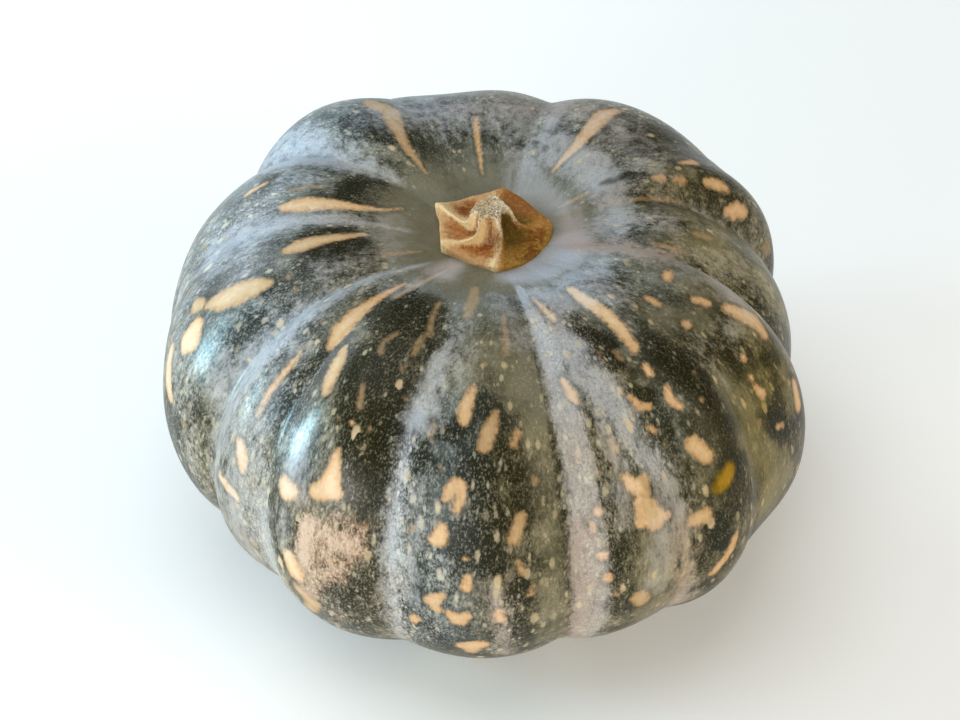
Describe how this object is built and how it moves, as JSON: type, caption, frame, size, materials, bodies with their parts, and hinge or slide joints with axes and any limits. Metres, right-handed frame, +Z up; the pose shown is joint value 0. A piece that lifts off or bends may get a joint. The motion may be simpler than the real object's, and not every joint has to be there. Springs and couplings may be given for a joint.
{
  "type": "kabocha squash",
  "caption": "Whole squat winter squash with a ribbed, speckled grey-green rind and a short corky cut stem, standing on its rib feet.",
  "frame": {"origin": "middle of the squash's footprint, on the surface that it stands on", "axes": "+Z up, through the stem end; -Y is the front; +X is to the right seen from the front"},
  "size_m": [0.2122, 0.2226, 0.1316],
  "materials": {
    "rind": "hard waxy rind, dark green to blue-grey, with cream flecks and speckles, semi-gloss",
    "stem": "dry corky stem, matt, amber in the hollows and cream on the ridges"
  },
  "bodies": {
    "root": {"fruit": "rind", "stem": "stem"}
  },
  "joints": []
}
